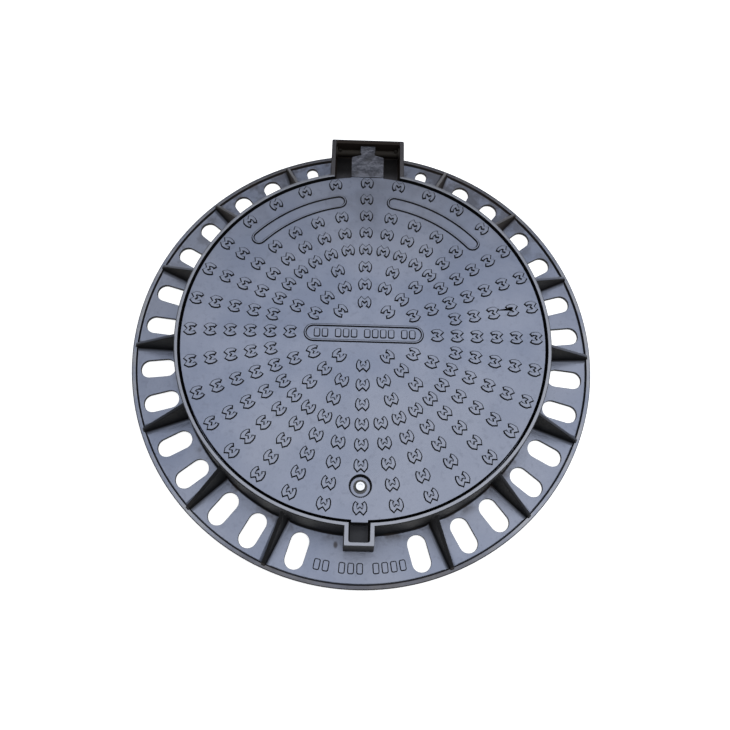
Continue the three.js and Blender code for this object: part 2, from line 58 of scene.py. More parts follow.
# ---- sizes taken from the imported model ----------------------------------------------
FIT = 0.3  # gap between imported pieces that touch
GASKET_INSET = 1.5
JOINTS = {joint["name"]: [value / MM for value in joint["pos_m"]] for joint in frame["joints"]}
PIN_Y, PIN_Z = JOINTS["cover_hinge"][1:]
LOCK_Y = JOINTS["lock_turn"][1]
TOP = corner("frame", 1).z
FLANGE_R = corner("frame", 1).x
COVER_R = corner("cover", 1).x
BEARING_Z = corner("seat_gasket", 1).z + FIT
SEAT_Z = corner("seat_gasket", 0).z - FIT
BORE_R = corner("seat_gasket", 1).x + GASKET_INSET
BOSS_Z = corner("lock_washer", 1).z + FIT
SEAL_Z = corner("lock_seal_washer", 0).z - FIT
HEAD_TOP = corner("lock_bolt", 1).z

# ---- sizes of the castings ----------------------------------------------------------
CLEAR_R = 300
WALL_TOP_R = BORE_R + 6.5
WALL_FOOT_R = BORE_R + 10.5
FLANGE_Z = 8
RIM_Z = 12.5
RIM_R = FLANGE_R - 8
SLOT_INNER_R = WALL_FOOT_R + 11.5
SLOT_OUTER_R = RIM_R - 8
SLOT_WIDTH, REAR_SLOT_WIDTH = 33, 22
END_SLOT = 16.1  # degrees from a box's middle to the lone slots beside it
BAY = 22.5  # degrees from rib to rib
SLOT_PAIR = 4.85  # degrees of each slot from its bay's middle
RIB_DROP = 24  # rib top below the ring's top, at the wall
PLATE_Z = TOP - 3
PLATE_UNDER_Z = PLATE_Z - 8
COVER_RIB_Z = PLATE_UNDER_Z - 23
KNUCKLE_R = 10.5
TONGUE_HALF = 31
NECK_HALF = 13.75
SHOULDER_Y = COVER_R + 41.5  # where the tongue narrows to its neck
BACK_WALL_Y = PIN_Y + 15
BOX_HALF = 61
BOX_FLOOR_Z = TOP - 50
BOX_FLOOR = 8  # thickness
POCKET_HALF = 17
POCKET_Y = -(BORE_R + 30.5)
PIN_CLEAR_R = 6.5  # bores for hinge pin and lock bolt
TREAD_Y = 3  # middle of the tread behind the cover's
STUD_RING_R, STUD_RING_STEP = 59.4, 34.8

# Rounded edge of everything raised on the plate: width and rise of each step.
TREAD_EDGE = ((1.25, 1.7), (0.8, 0.7))
BORDER_EDGE = ((0.9, 1.6), (1.1, 1.0))
MARK_EDGE = ((0.8, 1.3), (1.0, 0.8))

RING_STEPS = 192


# ---- modelling helpers --------------------------------------------------------------
def deselect():
    for thing in bpy.context.selected_objects:
        thing.select_set(False)


def only(thing):
    deselect()
    thing.select_set(True)
    bpy.context.view_layer.objects.active = thing
    return thing


def edit(on=True):
    bpy.ops.object.mode_set(mode="EDIT" if on else "OBJECT")


def spot(x, y, z=0.0):
    return Vector((x, y, z)) * MM


def arc(x, y, radius, start, end, steps):
    """Points on a round stretch, angles in degrees."""
    turn = [math.radians(start + (end - start) * i / steps) for i in range(steps + 1)]
    return [(x + radius * math.cos(a), y + radius * math.sin(a)) for a in turn]


def drawn(points, closed):
    """A chain of edges through points, drawn by extruding one vertex along."""
    deselect()
    bpy.ops.mesh.primitive_plane_add(size=MM, location=points[0])
    edit()
    bpy.ops.mesh.select_mode(type="VERT")
    bpy.ops.mesh.merge(type="CENTER")
    for here, there in zip(points, points[1:]):
        bpy.ops.mesh.extrude_vertices_move(TRANSFORM_OT_translate={"value": there - here})
    bpy.ops.mesh.select_all(action="SELECT")
    if closed:
        bpy.ops.mesh.edge_face_add()
    edit(False)
    bpy.ops.object.transform_apply(location=True)
    return bpy.context.object


def turned(profile, steps=RING_STEPS):
    """A profile of (radius, height) points, spun about the Z axis."""
    thing = drawn([spot(r, 0, z) for r, z in profile], closed=False)
    edit()
    bpy.ops.mesh.select_all(action="SELECT")
    bpy.ops.mesh.spin(steps=steps, angle=math.tau, center=(0, 0, 0), axis=(0, 0, 1))
    bpy.ops.mesh.select_all(action="SELECT")
    bpy.ops.mesh.remove_doubles(threshold=0.01 * MM)
    bpy.ops.mesh.normals_make_consistent(inside=False)
    edit(False)
    return thing


def slab(points, low, high):
    """A flat outline raised from one height to another."""
    thing = drawn([spot(x, y, low) for x, y in points], closed=True)
    edit()
    bpy.ops.mesh.select_all(action="SELECT")
    bpy.ops.mesh.extrude_region_move(TRANSFORM_OT_translate={"value": spot(0, 0, high - low)})
    bpy.ops.mesh.select_all(action="SELECT")
    bpy.ops.mesh.normals_make_consistent(inside=False)
    edit(False)
    return thing


def block(low, high):
    """A box between two corners."""
    deselect()
    low, high = spot(*low), spot(*high)
    bpy.ops.mesh.primitive_cube_add(size=1, location=(low + high) / 2)
    thing = bpy.context.object
    thing.scale = high - low
    bpy.ops.object.transform_apply(location=True, scale=True)
    return thing


def rod(radius, low, high, along, at, steps=48):
    """A round bar along X or Z."""
    deselect()
    turn = (0, math.pi / 2, 0) if along == "X" else (0, 0, 0)
    middle = (low + high) / 2
    place = spot(middle, at[0], at[1]) if along == "X" else spot(at[0], at[1], middle)
    bpy.ops.mesh.primitive_cylinder_add(
        vertices=steps, radius=radius * MM, depth=(high - low) * MM, location=place, rotation=turn)
    bpy.ops.object.transform_apply(location=True, rotation=True)
    return bpy.context.object


def pick(thing, kind, wanted):
    """In edit mode, selects the faces, edges or vertices whose place or normal fits."""
    bpy.ops.mesh.select_mode(type={"faces": "FACE", "edges": "EDGE", "vertices": "VERT"}[kind])
    bpy.ops.mesh.select_all(action="DESELECT")
    edit(False)
    mesh = thing.data
    parts = {"faces": mesh.polygons, "edges": mesh.edges, "vertices": mesh.vertices}[kind]
    for part in parts:
        part.select = bool(wanted(part))
    edit()


def ends(thing, edge):
    return [thing.data.vertices[i].co / MM for i in edge.vertices]


def bevel(thing, wanted, width, segments=2):
    """Rounds the edges whose two ends (in millimetres) fit."""
    only(thing)
    edit()
    pick(thing, "edges", lambda edge: wanted(*ends(thing, edge)))
    bpy.ops.mesh.bevel(offset=width * MM, segments=segments, profile=0.5, clamp_overlap=True)
    edit(False)
    return thing


def spread(thing, wanted, factor, about):
    """Widens or narrows the picked vertices about a point."""
    only(thing)
    edit()
    pick(thing, "vertices", lambda vertex: wanted(vertex.co / MM))
    bpy.ops.transform.resize(value=factor, center_override=spot(*about))
    edit(False)
    return thing


def shift(thing, wanted, x=0, y=0, z=0):
    """Moves the picked vertices."""
    only(thing)
    edit()
    pick(thing, "vertices", lambda vertex: wanted(vertex.co / MM))
    bpy.ops.transform.translate(value=spot(x, y, z))
    edit(False)
    return thing


def sliced(thing, point, normal):
    """Adds a ring of edges where a plane crosses the piece."""
    only(thing)
    edit()
    bpy.ops.mesh.select_all(action="SELECT")
    bpy.ops.mesh.bisect(plane_co=spot(*point), plane_no=normal)
    edit(False)
    return thing


def joined(things):
    deselect()
    for thing in things:
        thing.select_set(True)
    bpy.context.view_layer.objects.active = things[0]
    if len(things) > 1:
        bpy.ops.object.join()
    return things[0]


def modify(thing, kind, **settings):
    """Adds a modifier and applies it."""
    only(thing)
    bpy.ops.object.modifier_add(type=kind)
    modifier = thing.modifiers[-1]
    for name, value in settings.items():
        setattr(modifier, name, value)
    bpy.ops.object.modifier_apply(modifier=modifier.name)
    return thing


def combined(thing, tool, operation):
    modify(thing, "BOOLEAN", operation=operation, object=tool, solver="MANIFOLD")
    bpy.data.objects.remove(tool)
    return thing


def fused(thing, tool):
    return combined(thing, tool, "UNION")


def cut(thing, tool):
    return combined(thing, tool, "DIFFERENCE")


def about_z(turn):
    return Matrix.Rotation(math.radians(turn), 4, "Z")


def moved(thing, matrix):
    thing.data.transform(matrix)
    return thing


def placed(thing, matrices):
    """Joined copies of a piece, one for each matrix."""
    out = []
    for matrix in matrices:
        twin = thing.copy()
        twin.data = thing.data.copy()
        bpy.context.collection.objects.link(twin)
        out.append(moved(twin, matrix))
    bpy.data.objects.remove(thing)
    return joined(out)


def copies(thing, turns):
    """Joined copies of a piece, each turned about the Z axis from the front."""
    return placed(thing, [about_z(turn) for turn in turns])


def both_ways(turns):
    return [turn * side for turn in turns for side in (1, -1)]


def smooth(thing, angle=32):
    only(thing)
    edit()
    bpy.ops.mesh.select_all(action="SELECT")
    bpy.ops.mesh.remove_doubles(threshold=0.004 * MM)
    bpy.ops.mesh.dissolve_degenerate(threshold=0.004 * MM)
    edit(False)
    bpy.ops.object.shade_smooth_by_angle(angle=math.radians(angle))
    return modify(thing, "WEIGHTED_NORMAL", keep_sharp=True, weight=60)


# ---- frame casting ------------------------------------------------------------------
def frame_ring():
    """Flange, raised rim, wall and seat in one spin."""
    under = SEAT_Z - 10
    lower = WALL_FOOT_R - 12
    return turned([
        (lower, 0), (FLANGE_R - 1, 0),
        *arc(FLANGE_R - 2, RIM_Z - 2, 2, 0, 90, 4),
        *arc(RIM_R + 1.5, RIM_Z - 1.5, 1.5, 90, 160, 3),
        *arc(RIM_R - 3.4, FLANGE_Z + 3, 3, -20, -90, 4),
        *arc(WALL_FOOT_R + 5, FLANGE_Z + 5, 5, -90, -177, 5),
        *arc(WALL_TOP_R - 2, TOP - 2, 2, 0, 90, 4),
        *arc(BORE_R + 0.6, TOP - 0.6, 0.6, 90, 180, 3),
        (BORE_R, SEAT_Z + 2), (BORE_R + 0.6, SEAT_Z),
        (CLEAR_R + 1.5, SEAT_Z), (CLEAR_R, SEAT_Z - 1.5),
        (CLEAR_R, under + 1.5), (CLEAR_R + 1.5, under),
        (lower, under - 12), (lower, 0),
    ])


def frame_rib():
    """One gusset at the front, drafted, rounded on top and flared into wall and flange."""
    root, toe, foot, top = WALL_TOP_R - 3, RIM_R + 4, FLANGE_Z - 4, TOP - RIB_DROP
    half, base, end = 3.1, 6.4, 4.0
    rib = block((-half, -toe, foot), (half, -root, top))
    shift(rib, lambda v: v.z > foot + 1 and v.y < -toe + 1, z=RIM_Z + 5.5 - top)
    sliced(rib, (0, -RIM_R, 0), (0, 1, 0))
    shift(rib, lambda v: v.z > foot + 1 and v.y < -toe + 1, z=-7.5)
    spread(rib, lambda v: v.z < foot + 1 and v.y > -root - 1, (base / half, 1, 1), (0, 0, 0))
    spread(rib, lambda v: v.z < foot + 1 and v.y < -toe + 1, (end / half, 1, 1), (0, 0, 0))
    bevel(rib, lambda a, b: min(a.z, b.z) > foot + 4 and abs(a.x - b.x) < 0.1, 1.6, 3)
    for height, flare in ((4, 0.4), (2, 1.2), (0.9, 2.4), (0.1, 3.6)):
        level = FLANGE_Z + height
        sliced(rib, (0, 0, level), (0, 0, 1))
        for side in (1, -1):
            shift(rib, lambda v: abs(v.z - level) < 0.02 and v.x * side > 1, x=side * flare)
    for side in (1, -1):
        shift(rib, lambda v: v.z < foot + 0.1 and v.x * side > 1, x=side * 3.8)
    for reach, flare in ((7, 0.3), (5, 0.9), (3.8, 1.8)):
        place = -(root + reach)
        sliced(rib, (0, place, 0), (0, 1, 0))
        for side in (1, -1):
            shift(rib, lambda v: abs(v.y - place) < 0.02 and v.x * side > 1 and v.z > FLANGE_Z,
                  x=side * flare)
    return rib


def drafted_block(x, y0, y1, lean, corner_width, top_width):
    """A box casting from the flange up, leaning out on the way down, corners rounded."""
    middle = (y0 + y1) / 2
    body = block((-x, y0, FLANGE_Z - 4), (x, y1, TOP))
    wide, deep = (x + lean) / x, ((y1 - y0) / 2 + lean) / ((y1 - y0) / 2)
    spread(body, lambda v: v.z < TOP - 1, (wide, deep, 1), (0, middle, 0))
    bevel(body, lambda a, b: abs(a.z - b.z) > 50, corner_width, 4)
    bevel(body, lambda a, b: min(a.z, b.z) > TOP - 0.1, top_width, 2)
    return cut(body, rod(BORE_R + 3.5, -20, TOP + 20, "Z", (0, 0), RING_STEPS))


def well_cutter(x, y0, y1, floor, corner_width):
    """Room inside a box casting, with a small flare round its mouth."""
    body = block((-x, y0, floor), (x, y1, TOP + 6))
    bevel(body, lambda a, b: abs(a.z - b.z) > 40, corner_width, 3)
    bevel(body, lambda a, b: max(a.z, b.z) < floor + 0.1, min(corner_width, 3), 3)
    middle = (y0 + y1) / 2
    for height, flare in ((TOP - 1.2, 0), (TOP - 0.4, 0.4), (TOP + 0.1, 1.2)):
        sliced(body, (0, 0, height), (0, 0, 1))
        factor = ((x + flare) / x, ((y1 - y0) / 2 + flare) / ((y1 - y0) / 2), 1)
        spread(body, lambda v: abs(v.z - height) < 0.02, factor, (0, middle, 0))
    spread(body, lambda v: v.z > TOP + 5, ((x + 1.2) / x, 1, 1), (0, middle, 0))
    return cut(body, rod(BORE_R - 1, -20, TOP + 20, "Z", (0, 0), RING_STEPS))


def slot_cutter(width):
    """A round-ended slot through the flange at the front, flared at both faces."""
    half = width / 2
    middle, long = -(SLOT_INNER_R + SLOT_OUTER_R) / 2, (SLOT_OUTER_R - SLOT_INNER_R) / 2
    low, high = -3, FLANGE_Z + 6
    body = block((-half, middle - long, low), (half, middle + long, high))
    bevel(body, lambda a, b: abs(a.z - b.z) > 5, half * 0.98, 8)

    def widen(wanted, flare):
        factor = ((half + flare) / half, (long + flare) / long, 1)
        spread(body, wanted, factor, (0, middle, 0))

    for height, flare in ((FLANGE_Z - 0.8, 0), (FLANGE_Z - 0.25, 0.25), (FLANGE_Z + 0.05, 0.8),
                          (0.8, 0), (0.25, 0.25), (-0.05, 0.8)):
        sliced(body, (0, 0, height), (0, 0, 1))
        widen(lambda v: abs(v.z - height) < 0.02, flare)
    widen(lambda v: not low + 0.1 < v.z < high - 0.1, 0.9)
    return body


def hinge_bevel():
    """Slanted cut that clears the knuckle along the back wall's inner top edge."""
    tool = block((-BOX_HALF, BACK_WALL_Y - 6, TOP - 3.5), (BOX_HALF, BACK_WALL_Y, TOP + 4))
    return shift(tool, lambda v: v.y > BACK_WALL_Y - 1 and v.z > TOP, y=7.5)


def marking_block(x, y, face, width, length, turn=0):
    """One plain raised block of a marking, standing on a face at a height."""
    body = block((-width / 2, -length / 2, face - 1.5), (width / 2, length / 2, face))
    bevel(body, lambda a, b: abs(a.z - b.z) > 1, width * 0.3, 3)
    domed(body, MARK_EDGE)
    return moved(body, Matrix.Translation(spot(x, y)) @ about_z(turn))


def flange_marking():
    """Plain blocks on the front of the flange, in groups of two, three and four."""
    pitch, radius = 2.25, 390
    marks = []
    angle = -10.3
    for group in (2, 3, 4):
        for _ in range(group):
            turn = math.radians(angle)
            marks.append(marking_block(radius * math.sin(turn), -radius * math.cos(turn),
                                       FLANGE_Z, 11.5, 19, angle))
            angle += pitch
        angle += pitch * 0.8
    return joined(marks)


def frame_casting():
    ribs = copies(frame_rib(), both_ways([BAY * k for k in range(1, 8)]))
    slots = [END_SLOT]
    for k in range(1, 7):
        slots += [BAY * (k + 0.5) - SLOT_PAIR, BAY * (k + 0.5) + SLOT_PAIR]
    body = frame_ring()
    fused(body, drafted_block(BOX_HALF + 8, CLEAR_R, BACK_WALL_Y + 6, 4, 3, 1.2))
    fused(body, drafted_block(POCKET_HALF + 7.5, POCKET_Y - 6, -CLEAR_R, 2, 1.6, 1))
    fused(body, ribs)
    fused(body, flange_marking())
    cut(body, well_cutter(BOX_HALF, CLEAR_R, BACK_WALL_Y, BOX_FLOOR_Z, 2.5))
    cut(body, well_cutter(POCKET_HALF, POCKET_Y, -CLEAR_R, BOX_FLOOR_Z, 3.5))
    cut(body, hinge_bevel())
    cut(body, rod(6.4, -66.4, BOX_HALF + 20, "X", (PIN_Y, PIN_Z)))
    under = BOX_FLOOR_Z - BOX_FLOOR
    for side in (1, -1):
        x0, x1 = sorted((4 * side, BOX_HALF * side))
        cut(body, block((x0, WALL_FOOT_R + 1, -2), (x1, BACK_WALL_Y, under)))
    cut(body, block((-POCKET_HALF, POCKET_Y, -2), (POCKET_HALF, -WALL_FOOT_R - 1, under)))
    cut(body, copies(slot_cutter(SLOT_WIDTH), both_ways(slots)))
    cut(body, copies(slot_cutter(REAR_SLOT_WIDTH), both_ways([180 - END_SLOT])))
    return smooth(body)


# ---- cover casting ------------------------------------------------------------------
def cover_disc():
    """Plate, rounded edge, bearing rim and ring ribs in one spin."""
    inner = COVER_R - 17
    low = COVER_RIB_Z
    profile = [(0, PLATE_Z), (COVER_R - 14, PLATE_Z),
               *arc(COVER_R - 0.9, PLATE_Z - 0.9, 0.9, 90, 0, 4),
               (COVER_R, BEARING_Z + 1.5), (COVER_R - 1.5, BEARING_Z),
               (inner + 1.5, BEARING_Z), (inner, BEARING_Z + 1.5),
               *arc(inner - 4, PLATE_UNDER_Z - 4, 4, 0, 90, 3)]
    for middle in (225, 150, 75):
        profile += [*arc(middle + 8, PLATE_UNDER_Z - 3, 3, 90, 180, 2),
                    (middle + 3.6, low + 1), (middle + 2.6, low),
                    (middle - 2.6, low), (middle - 3.6, low + 1),
                    *arc(middle - 8, PLATE_UNDER_Z - 3, 3, 0, 90, 2)]
    profile += [*arc(33, PLATE_UNDER_Z - 3, 3, 90, 180, 2), (28.5, low + 1), (27.5, low), (0, low)]
    return turned(profile)


def under_rib(start, end):
    """A drafted radial rib under the plate, drawn at the front."""
    low = COVER_RIB_Z + 0.6
    rib = block((-5, -end, low), (5, -start, PLATE_UNDER_Z + 3))
    spread(rib, lambda v: v.z < low + 1, (0.6, 1, 1), (0, 0, 0))
    return bevel(rib, lambda a, b: max(a.z, b.z) < low + 0.1 and abs(a.x - b.x) < 0.1, 1, 2)


def under_ribs():
    """The radial ribs in three groups: from the hub, from the inner and from the outer ring."""
    inner = COVER_R - 15
    step = BAY / 2
    return [copies(under_rib(22, inner), [step + 45 * k for k in range(8)]),
            copies(under_rib(73, inner), [step + BAY + 45 * k for k in range(8)]),
            copies(under_rib(223, inner), [BAY * k for k in range(16)])]


def domed(thing, rings):
    """Rounds the top of a raised outline by insets, each with its width and rise."""
    only(thing)
    edit()
    top = max(vertex.co.z for vertex in thing.data.vertices)
    pick(thing, "faces", lambda face: face.center.z > top - 0.1 * MM)
    for width, rise in rings:
        bpy.ops.mesh.inset(thickness=width * MM, depth=rise * MM)
    edit(False)
    return thing


def stroke(line, half):
    """Outline of a stroke of even width along a line, with mitred corners."""
    steps = [(there - here).normalized() for here, there in zip(line, line[1:])]
    left, right = [], []
    for here, into, out in zip(line, steps[:1] + steps, steps + steps[-1:]):
        across = Vector((-(into + out).y, (into + out).x)).normalized()
        reach = half / max(0.5, across.dot(Vector((-into.y, into.x))))
        left.append(here + across * reach)
        right.append(here - across * reach)
    return left + right[::-1]


def stud():
    """Anti-slip stud at the origin: a horseshoe with a chevron across its outer end."""
    half_line = [(5.6, 7.0), (8.4, 3.4), (8.7, -1.2), (7.6, -5.8), (4.8, -9.6)]
    line = [(-x, y) for x, y in reversed(half_line)] + [(0, 1.9)] + half_line
    outline = stroke([Vector((x, -y)) for x, y in line], 3.7)
    body = slab(outline, PLATE_Z - 1.5, PLATE_Z)
    return domed(body, TREAD_EDGE)


def stud_places():
    """Radius and angle from the front of every stud, free of label, lock and grip bars."""
    places = []
    for ring, count in enumerate((8, 16, 16, 32, 32, 32, 32, 32)):
        for k in range(count):
            angle = 360 * k / count
            from_back = abs(180 - angle)
            if ring < 2 and angle in (90, 270):
                continue
            if ring == 6 and (angle == 0 or 10 < from_back < 46):
                continue
            places.append((STUD_RING_R + STUD_RING_STEP * ring, angle))
    return places


def studs():
    return placed(stud(), [about_z(angle) @ Matrix.Translation(spot(0, -radius))
                           for radius, angle in stud_places()])


def border(outline, width):
    """A raised border on the plate that follows a closed outline."""
    thing = drawn([spot(x, y, PLATE_Z - 1.5) for x, y in outline], closed=True)
    edit()
    bpy.ops.mesh.select_all(action="SELECT")
    bpy.ops.mesh.inset(thickness=width * MM)
    bpy.ops.mesh.delete(type="FACE")
    bpy.ops.mesh.select_mode(type="FACE")
    bpy.ops.mesh.select_all(action="SELECT")
    bpy.ops.mesh.extrude_region_move(TRANSFORM_OT_translate={"value": spot(0, 0, 1.5)})
    bpy.ops.mesh.select_all(action="SELECT")
    bpy.ops.mesh.normals_make_consistent(inside=False)
    edit(False)
    return domed(thing, BORDER_EDGE)


def label_border():
    round_end = 17
    half = 105.5 - round_end
    return border([*arc(half, 0, round_end, -90, 90, 12), *arc(-half, 0, round_end, 90, 270, 12)], 5.4)


def label_blocks():
    """Plain blocks inside the label, in groups of two, three, four and two."""
    x = -82
    marks = []
    for group in (2, 3, 4, 2):
        for _ in range(group):
            marks.append(marking_block(x, 0, PLATE_Z, 11.5, 17))
            x += 14
        x += 9
    return joined(marks)


def grip_bar(side):
    """Curved raised border beside the hinge, 8 to 50 degrees from the back."""
    radius, half = 267, 14
    end = math.degrees(half / radius)
    near, far = 82 - end, 40 + end
    points = []
    for place, start, stop, begin in ((radius + half, near, far, far),
                                      (radius - half, far, near, near + 180)):
        cap = math.radians(stop)
        points += arc(0, 0, place, start, stop, 18)
        points += arc(radius * math.cos(cap), radius * math.sin(cap), half, begin, begin - 180, 8)[1:-1]
    return border([(x * side, y) for x, y in points], 5.6)


def hinge_tongue():
    """Wide root, slanted shoulders, neck and knuckle, all rough-cast in one."""
    root, wide, neck = COVER_R - 8, TONGUE_HALF, NECK_HALF
    low = PIN_Z - KNUCKLE_R
    plan = [(-wide, root), (wide, root), (wide, SHOULDER_Y - 1),
            *arc(wide - 4, SHOULDER_Y, 4, 0, 60, 3),
            (neck, SHOULDER_Y + 8), (neck, PIN_Y), (-neck, PIN_Y), (-neck, SHOULDER_Y + 8),
            *arc(4 - wide, SHOULDER_Y, 4, 120, 180, 3), (-wide, SHOULDER_Y - 1)]
    body = slab(plan, low, PLATE_Z)
    bevel(body, lambda a, b: min(a.z, b.z) > PLATE_Z - 0.1 and min(a.y, b.y) < PIN_Y - 1, 1.6, 3)
    fused(body, rod(KNUCKLE_R, -neck, neck, "X", (PIN_Y, PIN_Z), 64))
    heel_y = PIN_Y + KNUCKLE_R
    heel = block((-neck, PIN_Y - 6, PIN_Z), (neck, heel_y, PLATE_Z))
    bevel(heel, lambda a, b: min(a.y, b.y) > heel_y - 0.1 and min(a.z, b.z) > PLATE_Z - 0.1, 3, 4)
    return fused(body, heel)


def front_nose():
    reach = -(COVER_R + 5)
    nose = block((-13.5, reach, PLATE_Z - 16), (13.5, -(COVER_R - 8), PLATE_Z))
    bevel(nose, lambda a, b: max(a.y, b.y) < reach + 0.1, 2.5, 3)
    return nose


def cover_casting():
    at_lock = Matrix.Translation(spot(0, LOCK_Y))
    body = cover_disc()
    for ribs in under_ribs():
        fused(body, ribs)
    fused(body, hinge_tongue())
    fused(body, front_nose())
    boss = turned([(0, PLATE_UNDER_Z + 2), (27, PLATE_UNDER_Z + 2), (26, PLATE_UNDER_Z - 1),
                   (23, PLATE_UNDER_Z - 5), (22, BOSS_Z + 1.5), (20.5, BOSS_Z), (0, BOSS_Z)], 48)
    fused(body, moved(boss, at_lock))
    tread = joined([studs(), grip_bar(1), grip_bar(-1), label_border(), label_blocks()])
    fused(body, moved(tread, Matrix.Translation(spot(0, TREAD_Y))))
    recess = turned([(0, TOP + 3), (20.2, TOP + 3), (20.2, PLATE_Z + 0.1), (18.8, PLATE_Z - 0.5),
                     (18, PLATE_Z - 1.6), (17.4, SEAL_Z + 1.5), (16, SEAL_Z), (0, SEAL_Z)], 64)
    cut(body, moved(recess, at_lock))
    cut(body, rod(PIN_CLEAR_R, BOSS_Z - 5, TOP, "Z", (0, LOCK_Y)))
    cut(body, rod(PIN_CLEAR_R, -20, 20, "X", (PIN_Y, PIN_Z)))
    groove = block((-32, COVER_R - 1.3, PLATE_Z - 3), (32, COVER_R + 1.3, PLATE_Z + 3))
    cut(body, spread(groove, lambda v: v.z < PLATE_Z, (1, 0.4, 1), (0, COVER_R, 0)))
    return smooth(body)


# ---- shader expressions -------------------------------------------------------------
class Wire:
    """A shader socket that Python arithmetic can be done on."""

    def __init__(self, tree, socket):
        self.tree = tree
        self.socket = socket

    def math(self, operation, first, second=None):
        node = self.tree.nodes.new("ShaderNodeMath")
        node.operation = operation
        for slot, value in zip(node.inputs, (first, second)):
            if isinstance(value, Wire):
                self.tree.links.new(value.socket, slot)
            elif value is not None:
                slot.default_value = value
        return Wire(self.tree, node.outputs[0])

    def __add__(self, other):
        return self.math("ADD", self, other)

    def __sub__(self, other):
        return self.math("SUBTRACT", self, other)

    def __rsub__(self, other):
        return self.math("SUBTRACT", other, self)

    def __mul__(self, other):
        return self.math("MULTIPLY", self, other)

    __radd__ = __add__
    __rmul__ = __mul__

    def root(self):
        return self.math("SQRT", self)

    def most(self, other):
        return self.math("MAXIMUM", self, other)

    def inside(self, low, high, soft):
        """1 between low and high, falling to 0 over a soft edge."""
        return self.step(low - soft, low + soft) * (1 - self.step(high - soft, high + soft))

    def step(self, low, high):
        """Rises smoothly from 0 at low to 1 at high."""
        node = self.tree.nodes.new("ShaderNodeMapRange")
        node.interpolation_type = "SMOOTHSTEP"
        self.tree.links.new(self.socket, node.inputs["Value"])
        node.inputs["From Min"].default_value = low
        node.inputs["From Max"].default_value = high
        return Wire(self.tree, node.outputs[0])


class Finish:
    """A material with one shader, whose inputs take numbers, colours or wires."""

    def __init__(self, name):
        self.material = bpy.data.materials.new(name)
        self.material.use_nodes = True
        self.tree = self.material.node_tree
        self.shader = self.tree.nodes["Principled BSDF"]
        self.place = self.add("ShaderNodeTexCoord", output="Object")
        self.facing = self.add("ShaderNodeTexCoord", output="Normal")

    def along(self, vector, axis):
        return self.add("ShaderNodeSeparateXYZ", {}, {0: vector}, output=axis)

    def where(self):
        """Distance from the axis, and X, Y and Z, all in millimetres."""
        x, y, z = [self.along(self.place, axis) * (1 / MM) for axis in "XYZ"]
        return (x * x + y * y).root(), x, y, z

    def feed(self, slot, value):
        if isinstance(value, Wire):
            self.tree.links.new(value.socket, slot)
        elif isinstance(value, tuple) and len(value) == 3 and len(slot.default_value) == 4:
            slot.default_value = (*value, 1)
        else:
            slot.default_value = value

    def add(self, kind, settings=None, inputs=None, output=0):
        node = self.tree.nodes.new(kind)
        for name, value in (settings or {}).items():
            setattr(node, name, value)
        for name, value in (inputs or {}).items():
            self.feed(node.inputs[name], value)
        return Wire(self.tree, node.outputs[output])

    def noise(self, scale, detail=3.0, roughness=0.55):
        return self.add("ShaderNodeTexNoise", {}, {"Vector": self.place, "Scale": scale,
                                                   "Detail": detail, "Roughness": roughness})

    def mix(self, share, first, second):
        node = self.tree.nodes.new("ShaderNodeMix")
        node.data_type = "RGBA"
        self.feed(node.inputs["Factor"], share)
        self.feed(node.inputs[6], first)
        self.feed(node.inputs[7], second)
        return Wire(self.tree, node.outputs[2])

    def bump(self, height, distance, strength=1.0, after=None):
        inputs = {"Height": height, "Distance": distance * MM, "Strength": strength}
        if after:
            inputs["Normal"] = after
        return self.add("ShaderNodeBump", {}, inputs)

    def shade(self, **inputs):
        for name, value in inputs.items():
            self.feed(self.shader.inputs[name.replace("_", " ")], value)
        return self.material


def painted_iron(name, grain, dirt_and_shade, bare):
    """Black bitumen paint with painted light: a glossy slate-blue lit copy where it faces up or leans to
    the back, a near-black painted-shade copy on its edges and sides.

    The third argument returns shares of sooty black (on the frame, painted shade in its pocket and cells)
    and of brownish grime (with painted shade towards the back), and a height of lumps; bare, a share of
    rubbed paint.
    """
    iron = Finish(name)
    lean_x, lean_y, lean_z = [iron.along(iron.facing, axis) for axis in "XYZ"]
    # Painted light: faces turned up, and a little towards the back, count as lit and take the glossy
    # slate copy; the rest take the painted-shade copy.
    lit = (lean_z * 0.94 + lean_y * 0.26 + lean_x * 0.04).step(0.68, 0.93)
    patches = iron.noise(9.0, 4.0)
    cloud = iron.noise(2.2, 2.0)
    mottle = iron.noise(110.0, 3.0)
    fine = iron.noise(420.0, 3.0)
    slate = iron.mix(patches.step(0.35, 0.68), (0.138, 0.156, 0.210), (0.172, 0.188, 0.241))
    slate = iron.mix(cloud.step(0.35, 0.65) * 0.5, slate, (0.176, 0.186, 0.222))
    slate = iron.mix(mottle.step(0.52, 0.8) * 0.4, slate, (0.10, 0.108, 0.14))
    slate = iron.mix(bare(iron), slate, (0.23, 0.23, 0.24))
    # Both shares carry painted shade too: near-black in the frame's recesses and darker blotches towards
    # the back.
    soot_and_shade, brown_and_shade, lumps = dirt_and_shade(iron)
    slate = iron.mix(brown_and_shade, slate, (0.045, 0.040, 0.040))
    slate = iron.mix(soot_and_shade, slate, (0.012, 0.011, 0.011))
    # Painted shade: the near-black copy for edges and faces turned away, tinted where the brownish share
    # reaches.
    shaded_black = iron.mix(patches.step(0.5, 0.75), (0.0065, 0.0065, 0.0075), (0.013, 0.0115, 0.0105))
    shaded_black = iron.mix(brown_and_shade, shaded_black, (0.024, 0.017, 0.013))
    return iron.shade(
        Base_Color=iron.mix(lit, shaded_black, slate),
        Metallic=lit * 0.85 * (1 - soot_and_shade),
        Specular_IOR_Level=0.2,
        Roughness=0.62 - lit * 0.30 + fine * 0.10,
        Normal=iron.bump(fine * 0.6 + mottle * 0.8 + lumps, 0.4 * grain, 0.6),
    )


